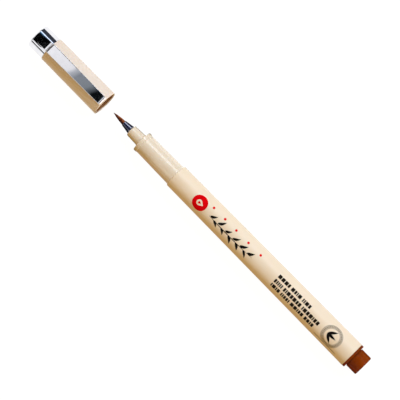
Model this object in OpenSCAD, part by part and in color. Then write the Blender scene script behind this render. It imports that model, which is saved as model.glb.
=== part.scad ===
// Brush pen with a flexible tip, its cap pulled off and lying in line ahead of the tip.
// It lies along X with the tip and the cap towards +X, the pocket clip on top (+Z),
// and the lowest point of the barrel and the cap at z = 0. The box is centred on x = 0, y = 0.

/* [End plug] */
// Length of the knob behind the flange
knob_l = 5; // [3:0.1:8]
// Diameter of the knob
knob_d = 8.3; // [8:0.05:9]
// Thickness of the flange that closes the barrel
flange_l = 1; // [0.6:0.1:2]
// Diameter of the flange
flange_d = 10.4; // [9.6:0.05:10.5]
// Length of the plug's stem inside the barrel
plug_stem_l = 8; // [4:0.5:14]

/* [Barrel] */
// Length of the barrel from the flange to the step at the grip
barrel_l = 93.3; // [60:0.1:130]
// Outer diameter at the rear end
barrel_rear_d = 10.55; // [10.2:0.05:11.5]
// Outer diameter at the step
barrel_front_d = 9.6; // [9.3:0.05:10]
// Diameter of the straight bore
barrel_bore_d = 8; // [7.9:0.05:8.3]

/* [Grip] */
// Length of the grip in front of the barrel
grip_l = 18.3; // [17:0.1:18.6]
// Grip diameter beside the barrel
grip_rear_d = 8.75; // [8.4:0.05:8.9]
// Grip diameter behind the bead
grip_front_d = 8.25; // [7.8:0.05:8.5]
// Diameter of the bead at the front edge
bead_d = 8.7; // [8.5:0.05:8.9]
// Width of the bead
bead_w = 1.2; // [0.8:0.1:2]
// Length of the grip's stem inside the barrel
grip_stem_l = 9; // [5:0.5:14]
// Length of the nose in front of the grip
nose_l = 5.7; // [5:0.1:6]
// Nose diameter at its root
nose_rear_d = 5.05; // [4.9:0.05:5.3]
// Nose diameter at its end
nose_front_d = 4.62; // [4.4:0.02:4.8]

/* [Tip] */
// Visible length of the tip holder
holder_l = 3.9; // [3.4:0.1:4.2]
// Holder diameter beside the nose
holder_rear_d = 3.34; // [3.2:0.02:3.5]
// Holder diameter at its mouth
holder_front_d = 2.22; // [2.16:0.02:2.6]
// Length of the brush in front of the holder
brush_l = 5.6; // [4:0.1:5.9]
// Diameter of the brush at its root
brush_d = 1.86; // [1.6:0.02:1.88]

/* [Cap] */
// Distance from the brush point to the mouth of the cap
cap_gap = 4.7; // [0.5:0.1:40]
// Length of the whole cap
cap_l = 36.5; // [36.2:0.1:42]
// Outer diameter at the mouth
cap_mouth_d = 10.55; // [10.2:0.05:11]
// Outer diameter beside the crown
cap_top_d = 10.3; // [10.2:0.05:10.6]
// Diameter of the bore
cap_bore_d = 9.1; // [9:0.05:9.3]

/* [Crown and clip] */
// Length of the metal crown
crown_l = 7.45; // [6.4:0.05:7.6]
// Outer diameter of the crown
crown_d = 10.1; // [9.9:0.05:10.2]
// Width of the clip at its root
blade_root_w = 4; // [3:0.1:5]
// Width of the clip at its tip
blade_tip_w = 3.6; // [2.6:0.1:4.6]
// Thickness of the clip
blade_t = 0.45; // [0.3:0.05:0.7]
// Height of the clip's underside over the cap's axis at its root
blade_root_h = 5.95; // [5.7:0.05:6.6]
// Rise of the clip's arch over a straight line
blade_bow = 0.15; // [0:0.05:0.4]

/* [Hidden] */
$fn = 96;

// Fits
press_gap = 0.02;   // between parts that are pressed together
run_gap = 0.05;     // between parts that turn, slide or seal on each other
seat_gap = 0.1;     // between the cap's mouth and the step of the barrel when it is on
arc_n = 5;          // steps in a rounded edge
cut = 1;            // how far a cutting tool runs past a face

// Places along X, from the rear to the front
total_l = knob_l + flange_l + barrel_l + grip_l + nose_l + holder_l + brush_l + cap_gap + cap_l;
x_rear = -total_l / 2;
x_barrel = x_rear + knob_l + flange_l;
x_step = x_barrel + barrel_l;
x_nose = x_step + grip_l;
x_holder = x_nose + nose_l;
x_mouth_of_holder = x_holder + holder_l;
x_point = x_mouth_of_holder + brush_l;
x_cap = x_point + cap_gap;

// Height of the common axis over the ground
axis_z = max(barrel_rear_d, cap_mouth_d, flange_d) / 2;

// Radii inside the pen
bore_r = barrel_bore_d / 2;
stem_r = bore_r - press_gap;
stem_bore_r = 3.1;
holder_stem_r = 1.6;
holder_stem_l = 10;
holder_bore_r = brush_d / 2 + run_gap;
wick_r = holder_bore_r - 0.03;
wick_depth = 8;
sleeve_r = bore_r - 0.25;
sleeve_t = 0.1;
reservoir_r = sleeve_r - sleeve_t - press_gap;
end_air = 0.2;

// The brush bends about the centre of its round root
brush_hinge_back = 0.1;
brush_r = brush_d / 2;

// Places inside the cap, measured from its mouth, worked out with the cap pushed on
m_nose = grip_l - seat_gap;
m_holder = m_nose + nose_l;
m_point = m_holder + holder_l + brush_l;
m_liner_mouth = m_nose + 0.25;
m_liner_end = m_point + 0.9;
liner_wall = 0.7;
m_neck = cap_l - crown_l - 0.05;
crown_wall = 0.4;
crown_r = crown_d / 2;
neck_r = crown_r - crown_wall - press_gap;
neck_bore_r = neck_r - 0.72;
m_neck_end = cap_l - crown_wall - press_gap;
m_shoulder = m_neck + 1.4;
shoulder_bore_r = neck_bore_r - 0.5;
shoulder_l = 0.8;
liner_r = shoulder_bore_r - 0.3;
top_hole_r = 3.4;

// Places along the clip, measured from the mouth of the cap
m_lip = 0.35;
m_bump = 1.3;
m_blade_root = m_neck - 0.4;
slit = 0.15;
ramp_l = 1.4;
blade_tip_h = cap_mouth_d / 2 + 0.1;
lip_rise = 0.35;
blade_n = 14;

// Points of an arc in a flat outline
function arc(x, y, r, a0, a1) =
    [for (i = [0 : arc_n]) let (a = a0 + (a1 - a0) * i / arc_n) [x + r * cos(a), y + r * sin(a)]];

// Height of the clip's underside along its length, u = 0 at the root and 1 at the bump
function blade_h(u) =
    blade_root_h + (blade_tip_h - blade_root_h) * u + blade_bow * 4 * u * (1 - u);

// Turns an outline of [radius, place] points into a round part on the common axis
module turned(x, outline) {
    translate([x, 0, axis_z])
        rotate([0, 90, 0])
            rotate_extrude()
                polygon(outline);
}

// Extrudes an outline of [place, height over the axis] points to a width across Y
module side_cut(x, width, outline) {
    translate([x, 0, axis_z])
        rotate([90, 0, 0])
            linear_extrude(height = width, center = true)
                polygon(outline);
}

module barrel() {
    rear_r = barrel_rear_d / 2;
    front_r = barrel_front_d / 2;
    edge_r = 0.25;
    rear_edge = 0.12;
    color("#ecdabc")
        turned(x_barrel, concat(
            [[bore_r, 0], [rear_r - rear_edge, 0], [rear_r, rear_edge]],
            arc(front_r - edge_r, barrel_l - edge_r, edge_r, 0, 90),
            [[bore_r, barrel_l]]));
}

module grip_section() {
    bead_r = bead_d / 2;
    edge_r = 0.22;
    groove_l = 0.35;
    nose_r = nose_front_d / 2;
    chamfer = 0.25;
    end = grip_l + nose_l;
    stem_end = end - holder_stem_l - press_gap;
    socket_r = holder_stem_r + press_gap;
    color("#ead7bd")
        turned(x_step, concat(
            [[stem_bore_r, -grip_stem_l], [stem_r - 0.3, -grip_stem_l], [stem_r, 0.3 - grip_stem_l]],
            [[stem_r, press_gap], [grip_rear_d / 2, press_gap]],
            [[grip_front_d / 2, grip_l - bead_w - groove_l], [bead_r - edge_r / 2, grip_l - bead_w]],
            arc(bead_r - edge_r, grip_l - edge_r, edge_r, 0, 90),
            [[nose_rear_d / 2, grip_l], [nose_r, end - chamfer], [nose_r - chamfer, end]],
            [[socket_r, end], [socket_r, stem_end], [stem_bore_r, stem_end - 2]]));
}

module nib_holder() {
    rear_r = holder_rear_d / 2;
    front_r = holder_front_d / 2;
    flare_r = rear_r + 0.1;
    flare_l = 0.45;
    lead_in = 0.06;
    color("#1a2140")
        turned(x_holder, [
            [holder_bore_r, -holder_stem_l], [holder_stem_r, -holder_stem_l], [holder_stem_r, press_gap],
            [flare_r, press_gap], [flare_r, 0.12], [rear_r - 0.03, flare_l],
            [front_r, holder_l - 0.05], [front_r - 0.04, holder_l],
            [holder_bore_r + lead_in, holder_l], [holder_bore_r, holder_l - 0.2]]);
}

module brush_tip() {
    // The root is round so that it turns in the holder's mouth, and the sides are slightly full
    base = -brush_hinge_back;
    tip_r = 0.04;
    belly = 0.06;
    side_n = 8;
    reach = brush_l - tip_r + brush_hinge_back;
    color("#5a2410")
        turned(x_mouth_of_holder, concat(
            [for (i = [0 : arc_n]) let (a = -90 + 90 * i / arc_n) [brush_r * cos(a), base + brush_r * sin(a)]],
            [for (i = [1 : side_n]) let (u = i / side_n)
                [brush_r + (tip_r - brush_r) * u + belly * 4 * u * (1 - u), base + reach * u]],
            [[0, brush_l]]));
}

module feed_wick() {
    back = x_step - grip_stem_l - wick_depth;
    front = x_mouth_of_holder - brush_hinge_back - brush_r - run_gap;
    color("#7a4a30")
        translate([back, 0, axis_z])
            rotate([0, 90, 0])
                cylinder(h = front - back, r = wick_r);
}

module ink_reservoir() {
    back = x_barrel + plug_stem_l + end_air;
    length = x_step - grip_stem_l - end_air - back;
    color("#6b3418")
        turned(back, [
            [0, 0], [reservoir_r, 0], [reservoir_r, length], [wick_r + press_gap, length],
            [wick_r + press_gap, length - wick_depth], [0, length - wick_depth]]);
}

module reservoir_sleeve() {
    back = x_barrel + plug_stem_l + end_air;
    length = x_step - grip_stem_l - end_air - back;
    color("#e8e4dc")
        turned(back, [
            [sleeve_r - sleeve_t, 0], [sleeve_r, 0], [sleeve_r, length], [sleeve_r - sleeve_t, length]]);
}

module end_plug() {
    knob_r = knob_d / 2;
    edge_r = 0.45;
    groove_w = 0.2;
    groove_r = knob_r - 0.3;
    rim = 0.15;
    flange_r = flange_d / 2;
    wall = 1.1;
    floor_t = 2;
    end = knob_l + flange_l + plug_stem_l;
    color("#7a3210")
        turned(x_rear, concat(
            [[0, 0]],
            arc(knob_r - edge_r, edge_r, edge_r, -90, 0),
            [[knob_r, knob_l - groove_w], [groove_r, knob_l - groove_w], [groove_r, knob_l]],
            [[flange_r - rim, knob_l], [flange_r, knob_l + rim], [flange_r, knob_l + flange_l - press_gap]],
            [[stem_r, knob_l + flange_l - press_gap], [stem_r, end - 0.5], [stem_r - 0.5, end]],
            [[stem_r - wall, end], [stem_r - wall, floor_t], [0, floor_t]]));
}

module cap_tube() {
    mouth_r = cap_mouth_d / 2;
    top_r = cap_top_d / 2;
    inner_r = cap_bore_d / 2;
    edge_r = 0.2;
    lead_in = 0.3;
    color("#ecdcc2")
        turned(x_cap, concat(
            [[inner_r, lead_in], [inner_r + 0.08, 0]],
            arc(mouth_r - edge_r, edge_r, edge_r, -90, 0),
            [[top_r, m_neck - 0.1], [top_r - 0.1, m_neck], [neck_r, m_neck], [neck_r, m_neck_end]],
            [[neck_bore_r, m_neck_end], [neck_bore_r, m_shoulder + shoulder_l]],
            [[shoulder_bore_r, m_shoulder + shoulder_l], [shoulder_bore_r, m_shoulder]],
            [[inner_r, m_shoulder - 1.2]]));
}

module inner_cap() {
    // A seal cone fits over the nose, and a flange sits in the neck of the cap
    flange_r = neck_bore_r - run_gap;
    flange_back = m_shoulder + shoulder_l + run_gap;
    cone_l = nose_l - 0.7;
    m_cone = m_nose + 0.7;
    nose_r0 = nose_rear_d / 2;
    nose_slope = (nose_rear_d - nose_front_d) / 2 / nose_l;
    cone_r0 = nose_r0 - nose_slope * (m_cone - m_nose) + run_gap;
    cone_r1 = cone_r0 - nose_slope * cone_l;
    well_r = 2.3;
    end = m_liner_end + liner_wall;
    color("#d9cfc0")
        turned(x_cap, [
            [cone_r0 + 0.3, m_liner_mouth], [liner_r, m_liner_mouth], [liner_r, flange_back],
            [flange_r, flange_back], [flange_r, end], [0, end], [0, m_liner_end],
            [well_r, m_liner_end], [well_r, m_holder + 0.6], [cone_r1, m_holder + 0.3],
            [cone_r0, m_cone]]);
}

module cap_top_plug() {
    disc_r = neck_bore_r - press_gap;
    back = m_liner_end + liner_wall + run_gap;
    boss_r = top_hole_r - press_gap;
    color("#e6d5b8")
        turned(x_cap, [
            [0, back], [disc_r, back], [disc_r, m_neck_end], [boss_r, m_neck_end],
            [boss_r, cap_l], [0, cap_l]]);
}

module clip_crown() {
    edge_r = 0.7;
    m_edge = cap_l - crown_l;
    inner_r = crown_r - crown_wall;
    ramp_top = blade_root_h + blade_t;
    m_ramp_end = m_blade_root + slit;
    color("silver")
        difference() {
            union() {
                turned(x_cap, concat(
                    [[inner_r, m_edge], [crown_r - 0.08, m_edge], [crown_r, m_edge + 0.08]],
                    arc(crown_r - edge_r, cap_l - edge_r, edge_r, 0, 90),
                    [[top_hole_r, cap_l], [top_hole_r, cap_l - crown_wall], [inner_r, cap_l - crown_wall]]));
                side_cut(x_cap, blade_root_w, [
                    [m_edge, inner_r - 0.5], [m_edge + ramp_l, inner_r - 0.5],
                    [m_ramp_end + ramp_l, crown_r - 0.02], [m_ramp_end + 0.25, ramp_top],
                    [m_ramp_end, ramp_top], [m_ramp_end, blade_root_h], [m_edge, crown_r + 0.3]]);
            }
            translate([x_cap + m_edge - cut, 0, axis_z])
                rotate([0, 90, 0])
                    cylinder(h = crown_l - crown_wall + cut, r = inner_r);
        }
}

module clip_blade() {
    run = m_blade_root - m_bump;
    under = [for (i = [0 : blade_n]) let (u = i / blade_n) [m_blade_root - run * u, blade_h(u)]];
    lip = [[m_lip, blade_tip_h + lip_rise]];
    path = concat(under, lip);
    last = len(path) - 1;
    outline = concat(path, [for (i = [last : -1 : 0]) path[i] + [0, blade_t]]);
    color("gainsboro")
        intersection() {
            side_cut(x_cap, blade_root_w, outline);
            translate([x_cap, 0, axis_z])
                linear_extrude(height = blade_root_h + 2)
                    polygon([
                        [m_blade_root, -blade_root_w / 2], [m_blade_root, blade_root_w / 2],
                        [m_lip, blade_tip_w / 2], [m_lip, -blade_tip_w / 2]]);
        }
}

barrel();
grip_section();
nib_holder();
brush_tip();
feed_wick();
ink_reservoir();
reservoir_sleeve();
end_plug();
cap_tube();
inner_cap();
cap_top_plug();
clip_crown();
clip_blade();
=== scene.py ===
import math
import random

import bmesh
import bpy
from mathutils import Matrix, Vector


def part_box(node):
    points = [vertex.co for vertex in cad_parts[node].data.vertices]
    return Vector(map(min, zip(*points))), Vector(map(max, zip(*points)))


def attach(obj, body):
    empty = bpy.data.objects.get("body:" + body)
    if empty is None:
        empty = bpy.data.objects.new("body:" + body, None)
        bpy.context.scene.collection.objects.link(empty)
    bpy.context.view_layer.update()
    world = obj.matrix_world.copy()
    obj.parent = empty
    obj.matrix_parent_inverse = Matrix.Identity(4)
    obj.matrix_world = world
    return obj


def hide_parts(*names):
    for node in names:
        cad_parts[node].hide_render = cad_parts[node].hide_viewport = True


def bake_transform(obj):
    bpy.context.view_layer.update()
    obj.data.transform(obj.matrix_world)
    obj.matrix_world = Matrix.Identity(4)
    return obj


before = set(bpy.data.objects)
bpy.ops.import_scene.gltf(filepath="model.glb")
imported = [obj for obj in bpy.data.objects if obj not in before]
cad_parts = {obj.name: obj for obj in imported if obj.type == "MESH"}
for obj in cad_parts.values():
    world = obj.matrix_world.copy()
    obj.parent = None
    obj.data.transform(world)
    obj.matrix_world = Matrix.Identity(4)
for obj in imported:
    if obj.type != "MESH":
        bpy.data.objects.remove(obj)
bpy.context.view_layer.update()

mm = 0.001
axisHeight = 5.275 * mm  # the barrel's rear radius, as it lies on the floor
segments = 144  # steps round a turned part


# node and colour helpers

def toLinear(hexColour):  # sRGB hex to the linear colour that a socket wants
    parts = [int(hexColour[i:i + 2], 16) / 255 for i in (1, 3, 5)]
    return [c / 12.92 if c <= 0.04045 else ((c + 0.055) / 1.055) ** 2.4 for c in parts] + [1.0]


def perMm(size):  # a noise texture's scale for features of that size in mm
    return 1 / (size * mm)


def addNode(tree, kind, settings=None, links=None):
    # settings go on the node's own fields or its sockets, "stops" are a ramp's (place, hex colour) pairs,
    # and links join a socket to another node's output
    node = tree.nodes.new(kind)
    for name, value in (settings or {}).items():
        if name == "stops":
            elements = node.color_ramp.elements
            while len(elements) < len(value):
                elements.new(0.5)
            for element, (at, colour) in zip(elements, value):
                element.position, element.color = at, toLinear(colour)
        elif isinstance(name, str) and hasattr(node, name):
            setattr(node, name, value)
        else:
            node.inputs[name].default_value = value
    for name, source in (links or {}).items():
        tree.links.new(source, node.inputs[name])
    return node


def newMaterial(name):  # an empty node tree with its output, and coordinates in the frame's metres
    material = bpy.data.materials.new(name)
    material.use_nodes = True
    tree = material.node_tree
    tree.nodes.clear()
    place = addNode(tree, "ShaderNodeTexCoord").outputs["Object"]
    return material, tree, place


def finishMaterial(material, tree, shader):
    addNode(tree, "ShaderNodeOutputMaterial", links={"Surface": shader.outputs[0]})
    return material


# moulded plastics; widths and sizes in a look are in mm, and the mould grain, really about 0.05 mm, is drawn
# coarser so that it shows

def mouldedPlastic(name, look):
    # faint flow streaks along the part, a fine even mould grain and a few rubbed, glossier patches
    material, tree, place = newMaterial(name)
    along = addNode(tree, "ShaderNodeMapping", {"Scale": look["flowStretch"]}, {"Vector": place})
    flow = addNode(tree, "ShaderNodeTexNoise",
                   {"Scale": perMm(look["flowWidth"]), "Detail": 4.0, "Roughness": 0.55},
                   {"Vector": along.outputs[0]})
    colour = addNode(tree, "ShaderNodeValToRGB", {"stops": [(0.32, look["deep"]), (0.68, look["pale"])]},
                     {"Fac": flow.outputs["Fac"]}).outputs["Color"]
    rub = addNode(tree, "ShaderNodeTexNoise", {"Scale": perMm(look["rubSize"]), "Detail": 5.0},
                  {"Vector": place})
    gloss = addNode(tree, "ShaderNodeMapRange",
                    {"From Min": 0.35, "From Max": 0.65, "To Min": look["smooth"], "To Max": look["dull"]},
                    {"Value": rub.outputs["Fac"]})
    grain = addNode(tree, "ShaderNodeTexNoise", {"Scale": perMm(look["grain"]), "Detail": 3.0},
                    {"Vector": place})
    bump = addNode(tree, "ShaderNodeBump", {"Strength": 1.0, "Distance": look["grainDepth"] * mm},
                   {"Height": grain.outputs["Fac"]})
    shader = addNode(tree, "ShaderNodeBsdfPrincipled",
                     {"IOR": look["ior"], "Specular IOR Level": look.get("shine", 0.5),
                      "Subsurface Weight": look["glow"],
                      "Subsurface Radius": look["glowReach"], "Subsurface Scale": look["glowScale"] * mm,
                      "Coat Weight": look.get("skin", 0.0), "Coat Roughness": look.get("skinRough", 0.1)},
                     {"Base Color": colour, "Roughness": gloss.outputs[0], "Normal": bump.outputs[0]})
    return finishMaterial(material, tree, shader)


creamPolypropylene = mouldedPlastic("CreamMouldedPolypropylene", {  # satin, with a slow soft highlight
    "pale": "#F2DEC1", "deep": "#EFD9B9", "flowWidth": 5, "flowStretch": (0.12, 1, 1),
    "rubSize": 9, "smooth": 0.30, "dull": 0.42, "grain": 0.35, "grainDepth": 0.004, "ior": 1.49,
    "glow": 0.06, "glowReach": (1.0, 0.62, 0.34), "glowScale": 0.6})

creamGripPolypropylene = mouldedPlastic("CreamGlossMouldedPolypropylene", {  # the grip has a glossier mould
    "pale": "#EEDCC1", "deep": "#E9D6B9", "flowWidth": 4, "flowStretch": (0.12, 1, 1),
    "rubSize": 6, "smooth": 0.20, "dull": 0.30, "grain": 0.4, "grainDepth": 0.003, "ior": 1.49,
    "skin": 1.0, "skinRough": 0.07,
    "glow": 0.06, "glowReach": (1.0, 0.6, 0.35), "glowScale": 0.6})

creamCapPolypropylene = mouldedPlastic("CreamCapMouldedPolypropylene", {  # another batch, a little pinker
    "pale": "#EAD8C4", "deep": "#E6D2BC", "flowWidth": 5, "flowStretch": (0.14, 1, 1),
    "rubSize": 8, "smooth": 0.30, "dull": 0.40, "grain": 0.35, "grainDepth": 0.004, "ior": 1.49,
    "glow": 0.06, "glowReach": (1.0, 0.58, 0.3), "glowScale": 0.6})

amberPolystyrene = mouldedPlastic("AmberBrownMouldedPolystyrene", {  # clear enough to glow at thin edges
    "pale": "#8C3802", "deep": "#742C01", "flowWidth": 2.5, "flowStretch": (0.5, 1, 1),
    "rubSize": 2.2, "smooth": 0.22, "dull": 0.36, "grain": 0.3, "grainDepth": 0.005, "ior": 1.59,
    "shine": 0.05, "glow": 0.1, "glowReach": (1.0, 0.32, 0.08), "glowScale": 1.0})

navyPolyacetal = mouldedPlastic("NavyGlossMouldedAcetal", {  # dark and slippery, with one hard highlight
    "pale": "#141C3C", "deep": "#0D132B", "flowWidth": 1.2, "flowStretch": (0.3, 1, 1),
    "rubSize": 1.5, "smooth": 0.12, "dull": 0.2, "grain": 0.25, "grainDepth": 0.002, "ior": 1.48,
    "glow": 0.0, "glowReach": (1.0, 1.0, 1.0), "glowScale": 0.2, "skin": 1.0, "skinRough": 0.1})

paintedShadeBorePolypropylene = mouldedPlastic("PaintedShadeCreamPolypropyleneBore", {  # painted shade: a darker, browner copy of the cream for the bore, where light soaks away
    "pale": "#A5713C", "deep": "#8C5A2A", "flowWidth": 4, "flowStretch": (0.2, 1, 1),
    "rubSize": 5, "smooth": 0.5, "dull": 0.6, "grain": 0.4, "grainDepth": 0.004, "ior": 1.49,
    "shine": 0.2, "glow": 0.0, "glowReach": (1.0, 0.6, 0.3), "glowScale": 0.5})

linerPolyethylene = mouldedPlastic("MilkyMouldedPolyethylene", {  # waxy and cloudy
    "pale": "#D9CDB8", "deep": "#CBBDA5", "flowWidth": 3, "flowStretch": (0.3, 1, 1),
    "rubSize": 3, "smooth": 0.38, "dull": 0.5, "grain": 0.4, "grainDepth": 0.004, "ior": 1.51,
    "glow": 0.3, "glowReach": (1.0, 0.85, 0.7), "glowScale": 1.5})


# plated steel, fibres, film and ink; strands and polishing lines are drawn coarser than the real ones, which
# are some hundredths of a millimetre, so that they show

def platedSteel(name, look):
    # chrome over stamped steel: mirror clear, with polishing lines and soft handling haze
    material, tree, place = newMaterial(name)
    haze = addNode(tree, "ShaderNodeTexNoise", {"Scale": perMm(look["hazeSize"]), "Detail": 6.0},
                   {"Vector": place})
    gloss = addNode(tree, "ShaderNodeMapRange",
                    {"From Min": 0.4, "From Max": 0.75, "To Min": look["clear"], "To Max": look["hazy"]},
                    {"Value": haze.outputs["Fac"]})
    along = addNode(tree, "ShaderNodeMapping", {"Scale": (0.03, 1, 1)}, {"Vector": place})
    lines = addNode(tree, "ShaderNodeTexNoise", {"Scale": perMm(look["lineWidth"]), "Detail": 2.0},
                    {"Vector": along.outputs[0]})
    bump = addNode(tree, "ShaderNodeBump", {"Strength": 1.0, "Distance": look["lineDepth"] * mm},
                   {"Height": lines.outputs["Fac"]})
    tone = addNode(tree, "ShaderNodeValToRGB", {"stops": [(0.3, look["dark"]), (0.7, look["light"])]},
                   {"Fac": haze.outputs["Fac"]}).outputs["Color"]
    shader = addNode(tree, "ShaderNodeBsdfPrincipled", {"Metallic": 1.0},
                     {"Base Color": tone, "Roughness": gloss.outputs[0], "Normal": bump.outputs[0]})
    return finishMaterial(material, tree, shader)


chromedSteel = platedSteel("ChromePlatedStampedSteel", {  # bright, barely blue, and clearest where untouched
    "light": "#F1F1F4", "dark": "#E8E8EC", "hazeSize": 2.5, "clear": 0.035, "hazy": 0.10,
    "lineWidth": 0.12, "lineDepth": 0.0004})


def nylonBristle():
    # drawn nylon wet with brown ink, in uneven strands; painted shade darkens the +Y side and painted light
    # turns the -Y side amber
    material, tree, place = newMaterial("InkedDrawnNylonBristle")
    along = addNode(tree, "ShaderNodeMapping", {"Scale": (0.08, 1, 1)}, {"Vector": place})
    strand = addNode(tree, "ShaderNodeTexNoise", {"Scale": perMm(0.16), "Detail": 2.0},
                     {"Vector": along.outputs[0]})
    apart = addNode(tree, "ShaderNodeSeparateXYZ", links={"Vector": place})
    paintedSideShade = addNode(tree, "ShaderNodeMapRange",  # painted shade towards +Y, painted light towards -Y
                     {"From Min": 0.5 * mm, "From Max": -0.6 * mm, "To Min": -0.15, "To Max": 0.17},
                     {"Value": apart.outputs["Y"]})
    share = addNode(tree, "ShaderNodeMath", {"operation": "ADD"},
                    {0: strand.outputs["Fac"], 1: paintedSideShade.outputs[0]})
    tone = addNode(tree, "ShaderNodeValToRGB",
                   {"stops": [(0.32, "#240601"), (0.54, "#561803"), (0.76, "#B8641E")]},
                   {"Fac": share.outputs[0]}).outputs["Color"]
    shader = addNode(tree, "ShaderNodeBsdfPrincipled",
                     {"Roughness": 0.34, "IOR": 1.53, "Subsurface Weight": 0.1,
                      "Subsurface Radius": (1.0, 0.35, 0.12), "Subsurface Scale": 0.2 * mm,
                      "Specular IOR Level": 0.1},
                     {"Base Color": tone})
    return finishMaterial(material, tree, shader)


def bondedFibre(name, dry, wet):
    # acrylic fibre bonded with resin: short bright strands over a soaked ground
    material, tree, place = newMaterial(name)
    along = addNode(tree, "ShaderNodeMapping", {"Scale": (0.1, 1, 1)}, {"Vector": place})
    strands = addNode(tree, "ShaderNodeTexNoise", {"Scale": perMm(0.2), "Detail": 3.0},
                      {"Vector": along.outputs[0]})
    tone = addNode(tree, "ShaderNodeValToRGB", {"stops": [(0.35, wet), (0.7, dry)]},
                   {"Fac": strands.outputs["Fac"]}).outputs["Color"]
    bump = addNode(tree, "ShaderNodeBump", {"Strength": 0.8, "Distance": 0.03 * mm},
                   {"Height": strands.outputs["Fac"]})
    shader = addNode(tree, "ShaderNodeBsdfPrincipled", {"Roughness": 0.75, "IOR": 1.5},
                     {"Base Color": tone, "Normal": bump.outputs[0]})
    return finishMaterial(material, tree, shader)


def clearFilm():
    # thin extruded film round the reservoir: soft gloss with a few long creases
    material, tree, place = newMaterial("ExtrudedPolypropyleneFilm")
    along = addNode(tree, "ShaderNodeMapping", {"Scale": (0.06, 1, 1)}, {"Vector": place})
    crease = addNode(tree, "ShaderNodeTexNoise", {"Scale": perMm(1.4), "Detail": 2.0},
                     {"Vector": along.outputs[0]})
    tone = addNode(tree, "ShaderNodeValToRGB", {"stops": [(0.3, "#D8D2C6"), (0.7, "#EFECE4")]},
                   {"Fac": crease.outputs["Fac"]}).outputs["Color"]
    bump = addNode(tree, "ShaderNodeBump", {"Strength": 0.7, "Distance": 0.05 * mm},
                   {"Height": crease.outputs["Fac"]})
    shader = addNode(tree, "ShaderNodeBsdfPrincipled", {"Roughness": 0.22, "IOR": 1.49},
                     {"Base Color": tone, "Normal": bump.outputs[0]})
    return finishMaterial(material, tree, shader)


def printedInk(name, look):
    # pad-printed ink: a thin, slightly uneven coat with pinholes of thinner colour
    material, tree, place = newMaterial(name)
    coverage = addNode(tree, "ShaderNodeTexNoise", {"Scale": perMm(look["patch"]), "Detail": 4.0},
                       {"Vector": place})
    tone = addNode(tree, "ShaderNodeValToRGB", {"stops": [(0.36, look["thin"]), (0.5, look["full"])]},
                   {"Fac": coverage.outputs["Fac"]}).outputs["Color"]
    bump = addNode(tree, "ShaderNodeBump", {"Strength": 0.5, "Distance": 0.004 * mm},
                   {"Height": coverage.outputs["Fac"]})
    shader = addNode(tree, "ShaderNodeBsdfPrincipled",
                     {"Roughness": look["rough"], "IOR": 1.5, "Specular IOR Level": look["shine"]},
                     {"Base Color": tone, "Normal": bump.outputs[0]})
    return finishMaterial(material, tree, shader)


redInk = printedInk("RedPadPrintedInk", {
    "full": "#E0060E", "thin": "#D0060E", "patch": 0.8, "rough": 0.55, "shine": 0.0})
blackInk = printedInk("BlackPadPrintedInk", {
    "full": "#080605", "thin": "#140F0B", "patch": 0.6, "rough": 0.55, "shine": 0.1})
sepiaInk = printedInk("SepiaPadPrintedInk", {
    "full": "#161008", "thin": "#2C2012", "patch": 0.5, "rough": 0.55, "shine": 0.1})
paleSepiaInk = printedInk("ThinSepiaPadPrintedInk", {  # a thin coat that lets the cream through
    "full": "#4A3924", "thin": "#66523A", "patch": 0.4, "rough": 0.55, "shine": 0.1})
print("materials made")


# mesh helpers

def finishPiece(bm, name, body, material, nodes=(), sharp=32):
    # finishes one piece: normals out, smooth but crisp past the sharp angle, and riding its body
    bmesh.ops.recalc_face_normals(bm, faces=bm.faces[:])
    mesh = bpy.data.meshes.new(name)
    bm.to_mesh(mesh)
    bm.free()
    mesh.shade_smooth()
    mesh.set_sharp_from_angle(angle=math.radians(sharp))
    mesh.materials.append(material)
    piece = bpy.data.objects.new(name, mesh)
    bpy.context.scene.collection.objects.link(piece)
    if body:
        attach(piece, body)
    if nodes:
        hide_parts(*nodes)
    return piece


fillet = {"steps": 5, "share": 0.4, "guard": 0.04}  # a fillet takes at most this share of a face


def softOutline(points):
    # rounds the corners of a closed outline; each point is (radius, place, corner radius) in mm
    out = []
    for i, (radius, place, soft) in enumerate(points):
        here = Vector((radius, place))
        if soft <= 0:
            out.append(here)
            continue
        back = Vector(points[i - 1][:2]) - here
        ahead = Vector(points[(i + 1) % len(points)][:2]) - here
        half = back.angle(ahead) / 2
        reach = min(soft / math.tan(half), fillet["share"] * back.length, fillet["share"] * ahead.length)
        middle = here + (back.normalized() + ahead.normalized()).normalized() * reach / math.cos(half)
        first, last = here + back.normalized() * reach - middle, here + ahead.normalized() * reach - middle
        sweep = first.angle(last)
        guard = min(fillet["guard"], 0.3 * reach)  # a close ring each side keeps long faces flat in shading
        out.append(middle + first + back.normalized() * guard)
        for k in range(fillet["steps"] + 1):
            u = k / fillet["steps"]
            arc = (first * math.sin((1 - u) * sweep) + last * math.sin(u * sweep)) / math.sin(sweep)
            out.append(middle + arc)
        out.append(middle + last + ahead.normalized() * guard)
    return out


def bridgeRings(bm, rings, closed=True):
    # joins neighbouring rings with quads, and a ring of one vertex with triangles
    pairs = list(zip(rings, rings[1:] + rings[:1])) if closed else list(zip(rings, rings[1:]))
    for one, two in pairs:
        count = max(len(one), len(two))
        for k in range(count):
            j = (k + 1) % count
            quad = [one[k % len(one)], one[j % len(one)], two[j % len(two)], two[k % len(two)]]
            quad = list(dict.fromkeys(quad))
            if len(quad) > 2:
                bm.faces.new(quad)


def roundRing(bm, x, radius, count):  # vertices round the common axis; one vertex where the radius is nothing
    if radius < 1e-9:
        return [bm.verts.new((x, 0, axisHeight))]
    return [bm.verts.new((x, radius * math.sin(a), axisHeight + radius * math.cos(a)))
            for a in (2 * math.pi * k / count for k in range(count))]


def turnedPiece(name, start, outline, body, material, nodes):
    # turns an outline of (radius, place in mm from start, corner radius) round the common axis
    bm = bmesh.new()
    bridgeRings(bm, [roundRing(bm, start + place * mm, radius * mm, segments)
                     for radius, place in softOutline(outline)])
    return finishPiece(bm, name, body, material, nodes)


# barrel

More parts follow.
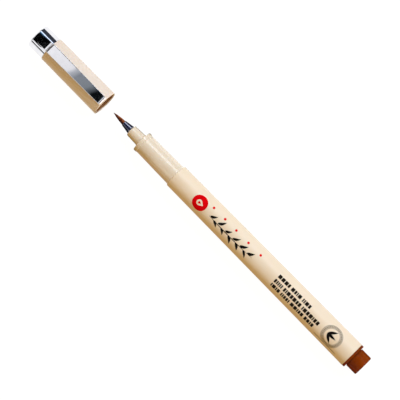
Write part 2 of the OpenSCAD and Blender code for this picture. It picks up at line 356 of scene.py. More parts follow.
barrel = {"length": 93.3, "rearRadius": 5.275, "frontRadius": 4.8, "bore": 4.0,
          "frontEdge": 0.25, "rearEdge": 0.12, "boreEdge": 0.1}
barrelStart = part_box("barrel")[0].x
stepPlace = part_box("barrel")[1].x


def barrelRadius(x):  # outer radius in mm at a place along the barrel
    share = (x - barrelStart) / mm / barrel["length"]
    return barrel["rearRadius"] + (barrel["frontRadius"] - barrel["rearRadius"]) * share


turnedPiece("barrel_shell", barrelStart, [
    (barrel["bore"], 0, barrel["boreEdge"]), (barrel["rearRadius"], 0, barrel["rearEdge"]),
    (barrel["frontRadius"], barrel["length"], barrel["frontEdge"]),
    (barrel["bore"], barrel["length"], barrel["boreEdge"])],
    "pen", creamPolypropylene, ["barrel"])

# grip and nose

grip = {"length": 18.3, "rearRadius": 4.375, "frontRadius": 4.125, "beadRadius": 4.35, "beadWidth": 1.2,
        "groove": 0.35, "stem": 9, "stemRadius": 3.98, "noseLength": 5.7, "noseRear": 2.525,
        "noseFront": 2.31, "noseRim": 0.25, "socket": 1.62, "socketDepth": 10.02, "bore": 3.1,
        "seam": 0.02, "beadDraft": 0.05, "throat": 2}  # the seam is the hairline where it meets the barrel
gripEnd = grip["length"] + grip["noseLength"]
turnedPiece("grip_and_nose", stepPlace, [
    (grip["bore"], -grip["stem"], 0), (grip["stemRadius"], -grip["stem"], 0.3),
    (grip["stemRadius"], grip["seam"], 0), (grip["rearRadius"], grip["seam"], 0),
    (grip["frontRadius"], grip["length"] - grip["beadWidth"] - grip["groove"], 0.3),
    (grip["beadRadius"] - grip["beadDraft"], grip["length"] - grip["beadWidth"], 0.2),
    (grip["beadRadius"], grip["length"], 0.2),
    (grip["noseRear"], grip["length"], 0.08),
    (grip["noseFront"], gripEnd, grip["noseRim"]),
    (grip["socket"], gripEnd, 0.05), (grip["socket"], gripEnd - grip["socketDepth"], 0),
    (grip["bore"], gripEnd - grip["socketDepth"] - grip["throat"], 0)],
    "pen", creamGripPolypropylene, ["grip_section"])

# tip holder

holder = {"length": 3.9, "rearRadius": 1.67, "frontRadius": 1.11, "flare": 0.1, "flareLength": 0.45,
          "stemRadius": 1.6, "stemLength": 10, "bore": 0.98, "leadIn": 0.06, "leadInDepth": 0.2,
          "seam": 0.02, "rim": 0.14, "waist": 0.03}
holderPlace = stepPlace + gripEnd * mm
flareRadius = holder["rearRadius"] + holder["flare"]
turnedPiece("tip_holder", holderPlace, [
    (holder["bore"], -holder["stemLength"], 0), (holder["stemRadius"], -holder["stemLength"], 0),
    (holder["stemRadius"], holder["seam"], 0), (flareRadius, holder["seam"], 0.03),
    (flareRadius, holder["rim"], 0.05),
    (holder["rearRadius"] - holder["waist"], holder["flareLength"], 0.3),
    (holder["frontRadius"], holder["length"], 0.07),
    (holder["bore"] + holder["leadIn"], holder["length"], 0),
    (holder["bore"], holder["length"] - holder["leadInDepth"], 0)],
    "pen", navyPolyacetal, ["nib_holder"])
mouthPlace = holderPlace + holder["length"] * mm

# end plug

plug = {"knobRadius": 4.15, "knobLength": 5, "knobEdge": 0.55, "groove": 0.2, "grooveDepth": 0.3,
        "flangeRadius": 5.2, "flangeLength": 1, "flangeEdge": 0.2, "stem": 8, "stemRadius": 3.98, "wall": 1.1,
        "floor": 2, "dish": 0.25, "dishRadius": 3.1, "dishSlope": 0.4, "seam": 0.02}
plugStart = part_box("end_plug")[0].x
flangeBack, flangeFront = plug["knobLength"], plug["knobLength"] + plug["flangeLength"] - plug["seam"]
plugEnd = plug["knobLength"] + plug["flangeLength"] + plug["stem"]
grooveRadius, grooveBack = plug["knobRadius"] - plug["grooveDepth"], flangeBack - plug["groove"]
hollowRadius = plug["stemRadius"] - plug["wall"]
turnedPiece("end_plug_amber", plugStart, [
    (0, plug["dish"], 0), (plug["dishRadius"] - plug["dishSlope"], plug["dish"], 0.3),
    (plug["dishRadius"], 0, 0.3), (plug["knobRadius"], 0, plug["knobEdge"]),
    (plug["knobRadius"], grooveBack, 0.05), (grooveRadius, grooveBack, 0.05),
    (grooveRadius, flangeBack, 0.05), (plug["flangeRadius"], flangeBack, plug["flangeEdge"]),
    (plug["flangeRadius"], flangeFront, 0.1), (plug["stemRadius"], flangeFront, 0),
    (plug["stemRadius"], plugEnd, 0.5), (hollowRadius, plugEnd, 0),
    (hollowRadius, plug["floor"], 0.2), (0, plug["floor"], 0)],
    "pen", amberPolystyrene, ["end_plug"])
print("pen body turned")

# cap tube and the disc in the crown's end

cap = {"length": 36.5, "mouthRadius": 5.275, "topRadius": 5.15, "bore": 4.55, "mouthEdge": 0.2,
       "crownLength": 7.45, "crownSeam": 0.05, "neckRadius": 4.63, "neckBore": 3.91, "neckStop": 0.42,
       "shoulderBore": 3.41, "shoulderStart": 1.4, "shoulderWidth": 0.8, "shoulderSlope": 1.2,
       "leadIn": 0.3, "leadInRise": 0.08}
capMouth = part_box("cap_tube")[0].x
neckAt = cap["length"] - cap["crownLength"] - cap["crownSeam"]
neckEnd = cap["length"] - cap["neckStop"]
shoulderAt = neckAt + cap["shoulderStart"]
shoulderEnd = shoulderAt + cap["shoulderWidth"]
capShell = turnedPiece("cap_shell", capMouth, [
    (cap["bore"], cap["leadIn"], 0), (cap["bore"] + cap["leadInRise"], 0, 0.05),
    (cap["mouthRadius"], 0, cap["mouthEdge"]), (cap["topRadius"], neckAt, 0.1),
    (cap["neckRadius"], neckAt, 0), (cap["neckRadius"], neckEnd, 0),
    (cap["neckBore"], neckEnd, 0), (cap["neckBore"], shoulderEnd, 0),
    (cap["shoulderBore"], shoulderEnd, 0), (cap["shoulderBore"], shoulderAt, 0),
    (cap["bore"], shoulderAt - cap["shoulderSlope"], 0)],
    "cap", creamCapPolypropylene, ["cap_tube"])
capShell.data.materials.append(paintedShadeBorePolypropylene)
for face in capShell.data.polygons:  # the bore's faces take the painted shade
    if math.hypot(face.center.y, face.center.z - axisHeight) < (cap["bore"] + 0.03) * mm:
        face.material_index = 1

disc = {"radius": 3.89, "boss": 3.38, "face": 36.5, "dish": 0.12, "rim": 0.5, "dishSlope": 0.3}
discBack = (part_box("cap_top_plug")[0].x - capMouth) / mm
rimRadius, dishPlace = disc["boss"] - disc["rim"], disc["face"] - disc["dish"]
turnedPiece("cap_end_disc", capMouth, [
    (0, discBack, 0), (disc["radius"], discBack, 0.05), (disc["radius"], neckEnd, 0),
    (disc["boss"], neckEnd, 0), (disc["boss"], disc["face"], 0.12),
    (rimRadius, disc["face"], 0.2), (rimRadius - disc["dishSlope"], dishPlace, 0.2),
    (0, dishPlace, 0)],
    "cap", creamCapPolypropylene, ["cap_top_plug"])

# crown: one shell drawn from sheet, with the clip's ramp pressed out of it

crown = {"radius": 5.05, "wall": 0.4, "length": 7.45, "endEdge": 0.7, "endSteps": 8, "hole": 3.4,
         "holeEdge": 0.08, "rampTop": 6.4, "rampUnder": 5.95, "rampFace": -0.3, "rampLength": 1.4,
         "rampHalf": 1.98, "rampSteps": 12, "sideSoft": 0.22, "sideSteps": 12}
crownStart = capMouth + (cap["length"] - crown["length"]) * mm


def crownRows():
    # each row is a plain point (radius, place) and, on the ramp, the point (height, place) it is carried to
    inner, outer, hole = crown["radius"] - crown["wall"], crown["radius"], crown["hole"]
    top, under, face = crown["rampTop"], crown["rampUnder"], crown["rampFace"]
    rows = [((inner, 0.0), None),
            ((outer - 0.10, 0.0), (inner + 0.45, 0.0)), ((outer - 0.05, 0.01), (under - 0.05, face + 0.03)),
            ((outer - 0.02, 0.03), (under + 0.03, face)), ((outer, 0.06), (top - 0.1, face)),
            ((outer, 0.09), (top - 0.03, face + 0.03)), ((outer, 0.12), (top, face + 0.1)),
            ((outer, 0.18), (top, face + 0.2)), ((outer, 0.24), (top - 0.02, face + 0.3))]
    (_, start), (startHeight, rampStart) = rows[-1]
    for k in range(1, crown["rampSteps"] + 1):
        u = k / crown["rampSteps"]
        fall = 1 - (1 - u) ** 3  # steep under the strip, then eased into the crown
        rows.append(((outer, start + (crown["rampLength"] - start) * u),
                     (startHeight + (outer - startHeight) * fall,
                      rampStart + (crown["rampLength"] - rampStart) * u)))
    plain = [(outer, 3.0), (outer, 5.0)]
    for k in range(crown["endSteps"] + 1):
        a = math.pi / 2 * k / crown["endSteps"]
        plain.append((outer - crown["endEdge"] * (1 - math.cos(a)),
                      crown["length"] - crown["endEdge"] * (1 - math.sin(a))))
    plain += [(hole + crown["holeEdge"], crown["length"]), (hole, crown["length"] - crown["holeEdge"]),
              (hole, crown["length"] - crown["wall"]), (inner, crown["length"] - crown["wall"])]
    return rows + [(point, None) for point in plain]


def crownShell():
    edge = crown["rampHalf"] / crown["radius"]
    turns = {2 * math.pi * k / segments for k in range(segments)}
    for side in (-1, 1):  # close steps where the ramp's sides stand up
        for k in range(crown["sideSteps"] + 1):
            turns.add((side * math.asin(edge - 0.075 + 0.09 * k / crown["sideSteps"])) % (2 * math.pi))
    turns = sorted(turns)

    bm = bmesh.new()
    rings = []
    for (radius, place), carried in crownRows():
        ring = []
        for a in turns:
            x, y, z = place, radius * math.sin(a), radius * math.cos(a)
            if carried and z > 0:
                share = min(1.0, max(0.0, (crown["rampHalf"] - abs(y)) / crown["sideSoft"]))
                share = math.sqrt(1 - (1 - share) ** 2)  # a rounded shoulder on a steep side
                x += (carried[1] - place) * share
                raised = z + (carried[0] - z) * share
                z = max(z, raised) if place > 0.02 else raised  # past the rim the ramp only ever rises
            ring.append(bm.verts.new((crownStart + x * mm, y * mm, axisHeight + z * mm)))
        rings.append(ring)
    bridgeRings(bm, rings)
    return finishPiece(bm, "clip_crown_chromed", "cap", chromedSteel, ["clip_crown"],
                       sharp=38)


crownShell()

# clip: one strip of sheet, gently arched, with a curled lip

clip = {"rootWidth": 4.0, "tipWidth": 3.6, "thick": 0.45, "rootUnder": 5.95, "tipUnder": 5.375, "bow": 0.15,
        "rootAt": 28.6, "rootTuck": 0.03, "bumpAt": 1.3, "lipAt": 0.35, "lipRise": 0.35, "lipThin": 0.16,
        "lipTaper": 0.12, "edge": 0.16, "burr": (0.02, 0.03), "corner": 0.5, "crownRise": 0.012,
        "stations": 72}


def clipUnder(place):  # height of the strip's underside over the axis, mm
    if place >= clip["bumpAt"]:
        u = (clip["rootAt"] - place) / (clip["rootAt"] - clip["bumpAt"])
        return clip["rootUnder"] + (clip["tipUnder"] - clip["rootUnder"]) * u + clip["bow"] * 4 * u * (1 - u)
    v = (clip["bumpAt"] - place) / (clip["bumpAt"] - clip["lipAt"])
    return clip["tipUnder"] + clip["lipRise"] * v ** 1.4


def clipStrip():
    bm = bmesh.new()
    rings = []
    length, soft = clip["rootAt"] - clip["lipAt"], clip["edge"]
    ends = [0.0, 0.02, 0.06, 0.12, 0.2, 0.3, 0.4, clip["corner"]]  # closer stations round the lip's corners
    body = [clip["corner"] + (length - clip["corner"] - 2 * clip["rootTuck"]) * k / clip["stations"]
            for k in range(1, clip["stations"] + 1)]
    for d in ends + body + [length]:
        place = clip["lipAt"] + d
        share = (clip["rootAt"] - place) / length
        half = (clip["rootWidth"] + (clip["tipWidth"] - clip["rootWidth"]) * share) / 2
        if d < clip["corner"]:
            half -= clip["corner"] - math.sqrt(clip["corner"] ** 2 - (clip["corner"] - d) ** 2)
        low = clipUnder(place)
        thick = clip["thick"] - clip["lipThin"] * max(0.0, 1 - d / clip["lipTaper"])
        if d == length:
            half, thick = half - clip["rootTuck"], thick - clip["rootTuck"]
        top = low + thick
        across = (1, 0.97, 0.5, 0, -0.5, -0.97, -1)
        side = [(half - 0.3 * soft, top - 0.3 * soft), (half, top - soft), (half, low + thick * 0.3),
                (half - clip["burr"][0], low + clip["burr"][1])]
        ring = [(v * (half - soft), top - clip["crownRise"] * v * v) for v in across]
        ring += [(-y, h) for y, h in side]
        ring += [(-v * (half - 0.05), low) for v in across]
        ring += side[::-1]
        rings.append([bm.verts.new((capMouth + place * mm, y * mm, axisHeight + h * mm)) for y, h in ring])
    bridgeRings(bm, rings, closed=False)
    bm.faces.new(rings[0])
    bm.faces.new(rings[-1])
    return finishPiece(bm, "clip_strip_chromed", "clip", chromedSteel, ["clip_blade"],
                       sharp=50)


clipStrip()
print("cap, crown and clip made")

# brush: a soaked core under a few hundred single bristles that meet in one point

brush = {"length": 5.6, "rootRadius": 0.93, "tipRadius": 0.07, "belly": 0.17, "root": 0.12,
         "coreSides": 24, "coreSteps": 14, "coreShare": 0.9, "coreTip": 0.02, "bristle": 0.055,
         "count": 330, "sides": 5, "steps": 10, "seed": 7, "bendFrom": -0.15, "bendTo": 2.4}


def brushEnvelope(u):  # radius of the whole brush, mm, u = 0 at the holder and 1 at the point
    return (brush["rootRadius"] + (brush["tipRadius"] - brush["rootRadius"]) * u
            + brush["belly"] * 4 * u * (1 - u))


def brushTip():
    draw = random.Random(brush["seed"])
    bm = bmesh.new()
    rings = [roundRing(bm, mouthPlace - brush["root"] * mm, 0, brush["coreSides"])]
    for k in range(brush["coreSteps"] + 1):  # the core
        u = k / brush["coreSteps"]
        radius = (brushEnvelope(u) - 0.8 * brush["bristle"]) * brush["coreShare"]
        if u == 1:
            radius = brush["coreTip"]
        x = mouthPlace + (-brush["root"] + (brush["length"] * 0.985 + brush["root"]) * u) * mm
        rings.append(roundRing(bm, x, radius * mm, brush["coreSides"]))
    rings.append(roundRing(bm, mouthPlace + brush["length"] * 0.99 * mm, 0, brush["coreSides"]))
    bridgeRings(bm, rings, closed=False)
    goldenTurn = 0.618034  # spreads the bristles evenly round the brush
    for n in range(brush["count"]):
        turn = 2 * math.pi * (n * goldenTurn + draw.uniform(-0.01, 0.01))
        depth = 1.0 if n % 3 else draw.uniform(0.86, 0.97)
        end = draw.choice((1.0, 1.0, 0.97, 0.9, 0.78, 0.6)) * draw.uniform(0.94, 1.0)
        sway, phase = draw.uniform(0.0, 0.035), draw.uniform(0, 6.28)
        rings = []
        for k in range(brush["steps"] + 1):
            u = end * k / brush["steps"]
            thin = brush["bristle"] * (1 - 0.86 * (k / brush["steps"]) ** 2) * (1 - 0.72 * u)
            centre = max(0.0, depth * brushEnvelope(u) - thin)
            angle = turn + sway * math.sin(3 * u + phase)
            y, z = centre * math.sin(angle), centre * math.cos(angle)
            x = mouthPlace + (-brush["root"] + (brush["length"] + brush["root"]) * u) * mm
            rings.append([bm.verts.new((x, (y + thin * math.sin(a)) * mm,
                                        axisHeight + (z + thin * math.cos(a)) * mm))
                          for a in (2 * math.pi * j / brush["sides"] for j in range(brush["sides"]))])
        bridgeRings(bm, rings, closed=False)
        bm.faces.new(rings[0])
        bm.faces.new(rings[-1])
    piece = finishPiece(bm, "brush_bristles", None, nylonBristle(), ["brush_tip"], sharp=60)
    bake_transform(piece)
    return piece


brushTip()
print("brush made")

# parts inside, kept as they come from the CAD

for node, material in (("feed_wick", bondedFibre("BondedAcrylicWick", "#8A5A38", "#4A200C")),
                       ("ink_reservoir", bondedFibre("BondedPolyesterReservoir", "#9A6A44", "#5A2A12")),
                       ("reservoir_sleeve", clearFilm()),
                       ("inner_cap", linerPolyethylene)):
    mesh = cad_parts[node].data
    mesh.materials.clear()
    mesh.materials.append(material)
print("inside parts given their materials")

# prints: flat outlines in mm, wrapped round the barrel as thin coats of ink, each cut into narrow strips
# first so that it follows the curve

coat = {"proud": 0.018, "sunk": 0.03, "strip": 0.3}


def wrapPrint(name, shapes, behindStep, acrossAxis, material):
    # a shape is a closed outline of (towards the plug, towards +Y) points, then the outlines of its holes
    bm = bmesh.new()
    for shape in shapes:
        edges = []
        for loop in shape:
            verts = [bm.verts.new((x, y, 0)) for x, y in loop]
            edges += [bm.edges.new((a, b)) for a, b in zip(verts, verts[1:] + verts[:1])]
        bmesh.ops.triangle_fill(bm, use_beauty=True, edges=edges, normal=(0, 0, 1))
    low = min(v.co.y for v in bm.verts)
    high = max(v.co.y for v in bm.verts)
    cut = low + coat["strip"]
    while cut < high - 0.02:
        bmesh.ops.bisect_plane(bm, geom=bm.verts[:] + bm.edges[:] + bm.faces[:], dist=1e-5,
                               plane_co=(0, cut, 0), plane_no=(0, 1, 0))
        cut += coat["strip"]
    under = bm.verts[:]
    made = bmesh.ops.extrude_face_region(bm, geom=bm.faces[:], use_keep_orig=True)["geom"]
    over = [v for v in made if isinstance(v, bmesh.types.BMVert)]
    for verts, lift in ((under, -coat["sunk"]), (over, coat["proud"])):
        for v in verts:
            x = stepPlace - (behindStep + v.co.x) * mm
            radius = barrelRadius(x)
            angle = (acrossAxis + v.co.y) / radius
            radius = (radius + lift) * mm
            v.co = (x, radius * math.sin(angle), axisHeight + radius * math.cos(angle))
    return finishPiece(bm, name, "pen", material, sharp=40)


def ringLoop(radius, count):
    turns = [2 * math.pi * k / count for k in range(count)]
    return [(radius * math.cos(a), radius * math.sin(a)) for a in turns]


def barLoop(x0, x1, tall, soft=0.12):
    # a bar with rounded corners, from x0 to x1
    out = []
    rise = tall / 2 - soft
    for cornerX, cornerY, first in ((x1 - soft, rise, 0), (x0 + soft, rise, 90),
                                    (x0 + soft, -rise, 180), (x1 - soft, -rise, 270)):
        for k in range(4):
            a = math.radians(first + 30 * k)
            out.append((cornerX + soft * math.cos(a), cornerY + soft * math.sin(a)))
    return out


badge = {"behindStep": 14.0, "across": 0.7, "radius": 3.1, "dropRadius": 1.15, "dropTip": 2.0,
         "dropBack": 0.35, "core": 0.4, "coreBack": 0.2, "steps": 40}


def dropLoop():
    # a drop of ink: a round belly drawn out to a point
    points = []
    for k in range(badge["steps"]):
        a = 2 * math.pi * k / badge["steps"]
        pull = max(0.0, math.cos(a)) ** 3
        points.append((badge["dropRadius"] * math.cos(a) + (badge["dropTip"] - badge["dropRadius"]) * pull
                       - badge["dropBack"], badge["dropRadius"] * math.sin(a) * (1 - 0.55 * pull)))
    return points


coreLoop = [(x * badge["core"] - badge["coreBack"], y * badge["core"]) for x, y in dropLoop()]
wrapPrint("print_badge", [[ringLoop(badge["radius"], 72), dropLoop()], [coreLoop]],
          badge["behindStep"], badge["across"], redInk)

dots = {"behindStep": (19.0, 24.9, 30.8, 37.2, 43.7), "across": -1.8, "radius": 0.5}
firstDot = dots["behindStep"][0]
wrapPrint("print_dots", [[[(place - firstDot + x, y) for x, y in ringLoop(dots["radius"], 24)]]
                         for place in dots["behindStep"]], firstDot, dots["across"], redInk)


def leafLoop(x, y, length, turn, half, bend=0.1):
    # one press of a loaded brush: pointed at both ends, full near its start, and slightly bent
    cosine, sine = math.cos(math.radians(turn)), math.sin(math.radians(turn))
    upper, lower = [], []
    steps = 14
    for k in range(steps + 1):
        u = k / steps
        wide = half * math.sin(math.pi * u ** 0.72) + 0.03
        middle = bend * length * math.sin(math.pi * u)
        for side, out in ((1, upper), (-1, lower)):
            along, off = length * u, middle + side * wide
            out.append((x + along * cosine - off * sine, y + along * sine + off * cosine))
    return upper + lower[::-1]


spray = {"behindStep": 19.7, "across": 1.45, "length": 22.4, "leaves": 11, "first": 0.5, "pitch": 1.93,
         "leafLength": (2.7, 3.5), "half": (0.42, 0.56), "turn": (34, 52), "stemHalf": 0.13, "seed": 4}
drawSpray = random.Random(spray["seed"])
leaves = [[leafLoop(0, 0.1, spray["length"], -0.5, spray["stemHalf"], 0.012)]]  # the stem first
for n in range(spray["leaves"]):
    side = 1 if n % 2 else -1
    leaves.append([leafLoop(spray["first"] + n * spray["pitch"], 0.12 * side,
                            drawSpray.uniform(*spray["leafLength"]), side * drawSpray.uniform(*spray["turn"]),
                            drawSpray.uniform(*spray["half"]), -0.1 * side)])
wrapPrint("print_spray", leaves, spray["behindStep"], spray["across"], blackInk)

rows = {"behindStep": 53.8, "across": (-1.35, 0.93, 3.06), "length": (16.6, 23.6, 21.9), "tall": 1.5,
        "gap": 0.26, "wordGap": 0.85, "seed": 11}
drawRows = random.Random(rows["seed"])
for n, (across, length) in enumerate(zip(rows["across"], rows["length"])):
    x, bars, inWord = 0.0, [], 0
    while x < length - 0.5:
        wide = min(drawRows.choice((0.5, 0.85, 1.1, 1.4)), length - x)
        bars.append([barLoop(x, x + wide, rows["tall"])])
        inWord += 1
        last = inWord >= 4 + n % 2 and drawRows.random() < 0.5
        x += wide + (rows["wordGap"] if last else rows["gap"])
        inWord = 0 if last else inWord
    wrapPrint(f"print_row_{n + 1}", bars, rows["behindStep"], across, sepiaInk)

seal = {"behindStep": 83.3, "across": 0.67, "outer": 4.3, "band": 3.25, "line": 0.16, "steps": 80,
        "ticks": 36, "tickHalf": 0.19, "tickGap": 0.16,
        "leaf": 4.0, "leafHalf": 0.52, "leafTurns": (-42, 0, 42)}
ring = [[ringLoop(radius, seal["steps"]), ringLoop(radius - seal["line"], seal["steps"])]
        for radius in (seal["outer"], seal["band"])]
low, high = seal["band"] + seal["tickGap"], seal["outer"] - seal["line"] - seal["tickGap"]
for n in range(seal["ticks"]):
    a = 2 * math.pi * n / seal["ticks"]
    ring.append([[(r * math.cos(a) - w * math.sin(a), r * math.sin(a) + w * math.cos(a)) for r, w in
                  ((low, -seal["tickHalf"]), (high, -seal["tickHalf"]),
                   (high, seal["tickHalf"]), (low, seal["tickHalf"]))]])
wrapPrint("print_seal_ring", ring, seal["behindStep"], seal["across"], paleSepiaInk)
wrapPrint("print_seal_sprig", [[leafLoop(-seal["leaf"] / 2, 0, seal["leaf"], turned, seal["leafHalf"], 0.0)]
                               for turned in seal["leafTurns"]], seal["behindStep"], seal["across"], blackInk)

edgeLine = {"behindStep": 77.5, "across": 4.9, "length": 11, "tall": 0.24, "soft": 0.1}
wrapPrint("print_edge_line", [[barLoop(0, edgeLine["length"], edgeLine["tall"], edgeLine["soft"])]],
          edgeLine["behindStep"], edgeLine["across"], paleSepiaInk)
print("prints wrapped")

# floor, room, lights and reflections

studio = {"reach": 3.0, "roomHeight": 3.0, "roomSides": 48, "paperColour": "#5A5A5A", "paperGlow": 0.97,
          "roomGlow": 1.0, "ambientColour": "#FFDA90", "ambient": 0.52}


def addSheet(name, corners, material, faces=None):
    # a flat part of the studio, which isn't part of the pen
    mesh = bpy.data.meshes.new(name)
    mesh.from_pydata(corners, [], faces or [tuple(range(len(corners)))])
    mesh.materials.append(material)
    sheet = bpy.data.objects.new(name, mesh)
    bpy.context.scene.collection.objects.link(sheet)
    sheet.visible_diffuse = False  # the room's colour on the pen comes from the lamp and the ambient light
    return sheet


def addCard(name, corners, material):
    # a flag or a strip of light that only reflections see
    card = addSheet(name, corners, material)
    card.visible_camera = card.visible_shadow = False
    return card


def aroundAxis(away, degrees):  # (y, z) at a distance from the pen's axis, so many degrees over from the top
    return away * math.sin(math.radians(degrees)), axisHeight + away * math.cos(math.radians(degrees))


def paperFloor():
    # matt white paper with a very fine tooth, lit from below like a light table
    material, tree, place = newMaterial("MattWhiteBackdropPaper")
    tooth = addNode(tree, "ShaderNodeTexNoise", {"Scale": perMm(1.5), "Detail": 3.0}, {"Vector": place})
    rough = addNode(tree, "ShaderNodeMapRange", {"To Min": 0.85, "To Max": 0.95},
                    {"Value": tooth.outputs["Fac"]})
    shader = addNode(tree, "ShaderNodeBsdfPrincipled",
                     {"Base Color": toLinear(studio["paperColour"]), "Specular IOR Level": 0.0,
                      "Emission Color": toLinear("#FFFFFF"), "Emission Strength": studio["paperGlow"]},
                     {"Roughness": rough.outputs[0]})
    return finishMaterial(material, tree, shader)


def glowing(name, colour, strength=1.0):
    material, tree, _ = newMaterial(name)
    glow = addNode(tree, "ShaderNodeEmission", {"Color": toLinear(colour), "Strength": strength})
    return finishMaterial(material, tree, glow)


reach, high = studio["reach"], studio["roomHeight"]
addSheet("floor", [(-reach, -reach, 0), (reach, -reach, 0), (reach, reach, 0), (-reach, reach, 0)],
         paperFloor())
around = [(x * reach * 0.98, y * reach * 0.98) for x, y in ringLoop(1, studio["roomSides"])]
n = len(around)
room = addSheet("room", [(x, y, -0.01) for x, y in around] + [(x, y, high) for x, y in around],
                glowing("PaleRoomWall", "#FFFFFF", studio["roomGlow"]),
                [(k, (k + 1) % n, n + (k + 1) % n, n + k) for k in range(n)] + [tuple(range(n, 2 * n))])
room.visible_shadow = False

# long cards that run beside the whole pen: colour, strength, and the degrees from straight up between which
# they stand, negative towards -Y
cards = {"reach": (-0.9, 0.33), "away": 0.5,
         "list": (("flag_overhead", "#04050A", 1.0, -27, 34), ("strip_navy", "#12273D", 1.0, -35, -27),
                  ("strip_blue", "#5A86A8", 1.0, -41, -35), ("strip_pale_blue", "#A9CCEA", 1.0, -45, -41),
                  ("strip_bright", "#DCEBFF", 2.0, -51, -45), ("strip_grey", "#5A6472", 1.0, -58, -51),
                  ("flag_side", "#353842", 1.0, -97, -58), ("line_far_side", "#0A0A0E", 1.0, 69, 80))}
for name, colour, strength, first, last in cards["list"]:
    low, top = aroundAxis(cards["away"], first), aroundAxis(cards["away"], last)
    back, front = cards["reach"]
    addCard(name, [(back, *low), (front, *low), (front, *top), (back, *top)],
            glowing("Studio_" + name, colour, strength))

# four grey panels in the corners of the room, which only chrome seen from a low angle mirrors
panels = {"away": 1.5, "low": 0.27, "top": 0.78, "azimuths": (28, 60), "colour": "#3A3D44"}
for n in range(4):
    sides = panels["azimuths"] if n % 2 == 0 else [90 - a for a in panels["azimuths"]]
    one, two = [(panels["away"] * math.cos(math.radians(90 * n + a)),
                 panels["away"] * math.sin(math.radians(90 * n + a))) for a in sides]
    addCard(f"corner_panel_{n + 1}", [(*one, panels["low"]), (*two, panels["low"]),
                                      (*two, panels["top"]), (*one, panels["top"])],
            glowing(f"Studio_corner_panel_{n + 1}", panels["colour"]))

# small cards close to the pen, in mm: trays low down, so that the edges of the tip, the plug and the barrel
# don't mirror the floor; strips for the long highlights on the tip and the grip; an upright flag beside the
# tip; and an upright card that lights the rims of the tip's side
smallCards = {
    "trayHeight": 0.2,
    "trays": (("tray_tip", (30, 49.5), (-30, 30), "#08080C"),
              ("tray_plug", (-100, -81.2), (-30, 30), "#2A1208"),
              ("tray_barrel", (-81.2, 30), (2, 60), "#B89C92")),
    "stripColour": "#E6ECFF",
    "strips": (("tip_strip", 12, (-58, -33), (40.5, 46.5), 9.0),
               ("tip_strip_far", 12, (48, 56), (40.5, 46.5), 2.0),
               ("grip_strip", 42, (-42, -30), (14, 37), 2.6)),
    "tipFlag": {"along": (26, 49.5), "aside": 24, "heights": (1, 60), "colour": "#08080C"},
    "rimCard": {"along": 48, "aside": (-12, 12), "rise": (1, 8), "colour": "#FFF4E8", "strength": 4.0}}
square = ((0, 0), (1, 0), (1, 1), (0, 1))  # which of each pair of limits a card's corners take
flag, rim = smallCards["tipFlag"], smallCards["rimCard"]
addCard("tip_flag", [(flag["along"][i] * mm, flag["aside"] * mm, flag["heights"][j] * mm) for i, j in square],
        glowing("Studio_tip_flag", flag["colour"]))
for name, along, aside, colour in smallCards["trays"]:
    addCard(name, [(along[i] * mm, aside[j] * mm, smallCards["trayHeight"] * mm) for i, j in square],
            glowing("Studio_" + name, colour))
for name, away, angles, along, strength in smallCards["strips"]:
    ends = [aroundAxis(away * mm, a) for a in angles]
    addCard(name, [(along[i] * mm, *ends[j]) for i, j in square],
            glowing("Studio_" + name, smallCards["stripColour"], strength))
addCard("rim_card", [(rim["along"] * mm, rim["aside"][i] * mm, axisHeight + rim["rise"][j] * mm)
                     for i, j in square], glowing("Studio_rim_card", rim["colour"], rim["strength"]))

# close over the clip stands one graded card, which gives the strip its long soft fade, and a flag over the
# crown; places are in mm from the cap's mouth, and the fade runs a little aslant
nearCards = {"over": 36.3, "graded": ((-4, -7), (34.8, -7), (34.8, 26), (-4, 26)),
             "slant": 0.32, "glow": 1.12, "cloudSize": 5, "wobble": 2.0,
             "fade": ((-4.0, "#0A0E10"), (7.2, "#0A0E10"), (9.0, "#4E5459"), (11.5, "#7B8187"),
                      (17.5, "#83888F"), (20.5, "#B4B7BD"), (22.0, "#E4E3E6"), (34.0, "#F1F1F3")),
             "flag": ((35.2, -15), (66, -15), (66, 50), (43.5, 50), (35.2, 12))}


def gradedCard():
    material, tree, place = newMaterial("Studio_graded_card")
    apart = addNode(tree, "ShaderNodeSeparateXYZ", links={"Vector": place})
    aslant = addNode(tree, "ShaderNodeMath", {"operation": "MULTIPLY_ADD", 1: -nearCards["slant"]},
                     {0: apart.outputs["Y"], 2: apart.outputs["X"]})
    cloud = addNode(tree, "ShaderNodeTexNoise", {"Scale": perMm(nearCards["cloudSize"]), "Detail": 4.0},
                    {"Vector": place})
    wobble = addNode(tree, "ShaderNodeMath", {"operation": "MULTIPLY_ADD", 1: nearCards["wobble"] * mm},
                     {0: cloud.outputs["Fac"], 2: aslant.outputs[0]})
    first, last = nearCards["fade"][0][0], nearCards["fade"][-1][0]
    share = addNode(tree, "ShaderNodeMapRange",  # the wobble adds about a millimetre, hence the + 1
                    {"From Min": capMouth + (first + 1) * mm, "From Max": capMouth + (last + 1) * mm},
                    {"Value": wobble.outputs[0]})
    stops = [((at - first) / (last - first), tone) for at, tone in nearCards["fade"]]
    colour = addNode(tree, "ShaderNodeValToRGB", {"stops": stops}, {"Fac": share.outputs[0]}).outputs["Color"]
    glow = addNode(tree, "ShaderNodeEmission", {"Strength": nearCards["glow"]}, {"Color": colour})
    return finishMaterial(material, tree, glow)


for name, outline, material in (("graded_card", nearCards["graded"], gradedCard()),
                                ("crown_flag", nearCards["flag"], glowing("Studio_crown_flag", "#030304"))):
    addCard(name, [(capMouth + x * mm, y * mm, axisHeight + nearCards["over"] * mm) for x, y in outline],
            material)

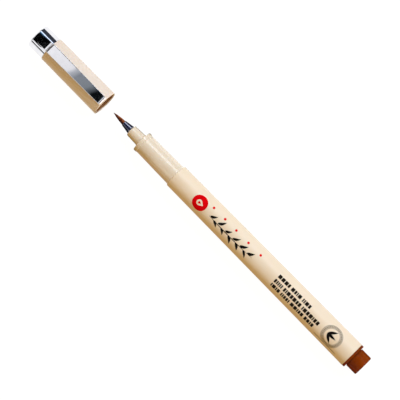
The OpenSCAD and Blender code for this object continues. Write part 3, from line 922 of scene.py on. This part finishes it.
world = bpy.data.worlds.new("SoftStudio")
world.use_nodes = True
background = world.node_tree.nodes["Background"]
background.inputs["Color"].default_value = toLinear(studio["ambientColour"])
background.inputs["Strength"].default_value = studio["ambient"]
bpy.context.scene.world = world


def softLight(name, place, size, power, colour):
    light = bpy.data.lights.new(name, "AREA")
    light.shape = "RECTANGLE"
    light.size, light.size_y = size
    light.energy = power
    light.color = toLinear(colour)[:3]
    lamp = bpy.data.objects.new(name, light)
    lamp.location = place
    lamp.rotation_mode = "QUATERNION"
    lamp.rotation_quaternion = (Vector((0, 0, axisHeight)) - Vector(place)).to_track_quat("-Z", "Y")
    lamp.visible_glossy = False  # reflections see the cards instead
    bpy.context.scene.collection.objects.link(lamp)


softLight("cool_key", (0.0, -0.89, 0.99), (1.6, 0.4), 22.9, "#BFDBFF")

# camera, looking down from the height and angle that the proportions give

view = {"height": 0.770, "towardsPlug": 0.0715, "aimX": -0.0005, "aside": -0.0001, "lens": 186.5,
        "sensor": 36, "turn": 45.47, "near": 0.05, "far": 20}
cameraData = bpy.data.cameras.new("Camera")
cameraData.lens = view["lens"]
cameraData.sensor_width = view["sensor"]
cameraData.clip_start, cameraData.clip_end = view["near"], view["far"]
camera = bpy.data.objects.new("Camera", cameraData)
bpy.context.scene.collection.objects.link(camera)
eye = Vector((-view["towardsPlug"], view["aside"], axisHeight + view["height"]))
forward = (Vector((view["aimX"], view["aside"], axisHeight)) - eye).normalized()
alongPen = (Vector((-1, 0, 0)) - forward * forward.dot(Vector((-1, 0, 0)))).normalized()
acrossPen = (-forward).cross(alongPen)
turn = math.radians(view["turn"])  # how far the pen lies turned in the frame
right = alongPen * math.cos(turn) + acrossPen * math.sin(turn)
up = -alongPen * math.sin(turn) + acrossPen * math.cos(turn)
camera.matrix_world = Matrix(((right.x, up.x, -forward.x, eye.x), (right.y, up.y, -forward.y, eye.y),
                              (right.z, up.z, -forward.z, eye.z), (0, 0, 0, 1)))
bpy.context.scene.camera = camera
bpy.context.scene.view_settings.view_transform = "Standard"
print("studio and camera set")
